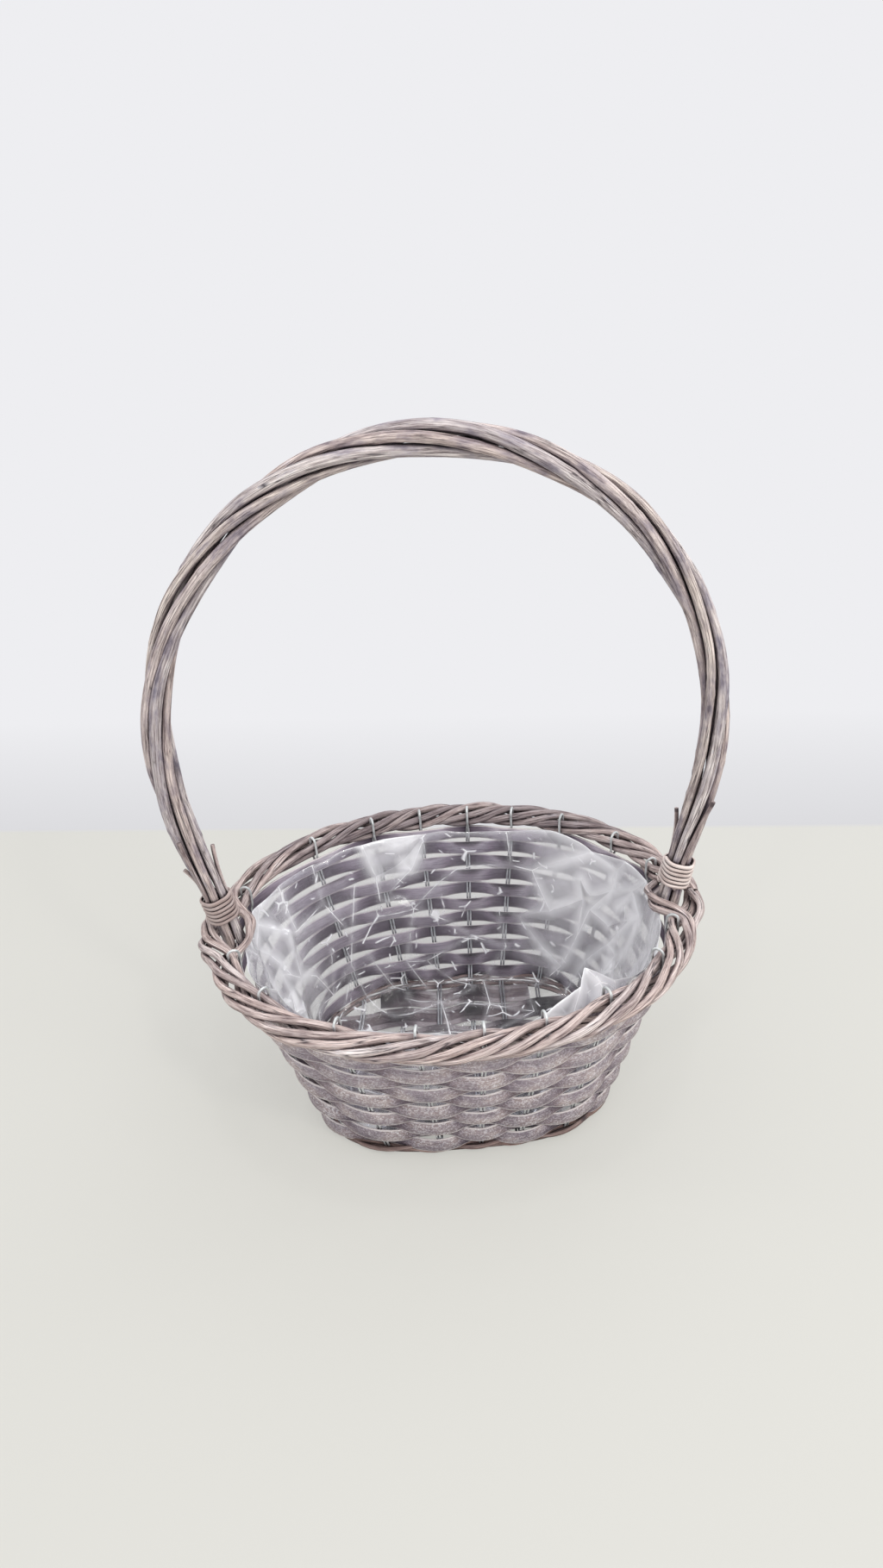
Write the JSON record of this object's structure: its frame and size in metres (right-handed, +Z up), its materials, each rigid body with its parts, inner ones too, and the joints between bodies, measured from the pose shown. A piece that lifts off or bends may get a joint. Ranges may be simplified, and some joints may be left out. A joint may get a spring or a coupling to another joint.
{
  "type": "florist basket",
  "caption": "Oval willow florist basket with a tall twisted hoop handle, a rope-like border on wire ribs and a clear film liner.",
  "frame": {"origin": "centre of the outline of the basket, on the surface it stands on", "axes": "+Z up, X along the oval's long side and the plane of the handle, -Y towards the viewer of the picture"},
  "size_m": [0.3645, 0.272, 0.4658],
  "materials": {
    "chip": "flat split chip, greyed and limewashed, matt",
    "willow": "thin willow rod, pinkish brown under a pale wash, matt",
    "handle_willow": "thick willow rod, streaked grey and tan, matt",
    "cane": "split cane binding, pale pinkish beige, satin",
    "wire": "dull galvanised wire",
    "film": "clear crisp film, glossy"
  },
  "bodies": {
    "root": {"wall_strip_1": "chip", "wall_strip_2": "chip", "wall_strip_3": "chip", "wall_strip_4": "chip", "wall_strip_5": "chip", "wall_strip_6": "chip", "wall_strip_7": "chip", "wall_strip_8": "chip", "wall_strip_9": "chip", "wall_strip_10": "chip", "wall_strip_11": "chip", "base_slat_1": "chip", "base_slat_2": "chip", "base_slat_3": "chip", "base_slat_4": "chip", "base_slat_5": "chip", "base_slat_6": "chip", "base_slat_7": "chip", "border_rod_1a": "willow", "border_rod_1b": "willow", "border_rod_2a": "willow", "border_rod_2b": "willow", "border_rod_3a": "willow", "border_rod_3b": "willow", "foot_rod_under": "willow", "foot_rod_outer": "willow", "right_peg_1": "willow", "right_peg_2": "willow", "left_peg_1": "willow", "left_peg_2": "willow", "left_peg_3": "willow", "handle_rod_1": "handle_willow", "handle_rod_2": "handle_willow", "handle_rod_3": "handle_willow", "handle_rod_4": "handle_willow", "handle_rod_5": "handle_willow", "lashing_left": "cane", "lashing_right": "cane", "cross_rib_1": "wire", "cross_rib_2": "wire", "cross_rib_3": "wire", "cross_rib_4": "wire", "cross_rib_5": "wire", "cross_rib_6": "wire", "cross_rib_7": "wire", "long_rib_back": "wire", "long_rib_front": "wire", "film_liner": "film"}
  },
  "joints": []
}
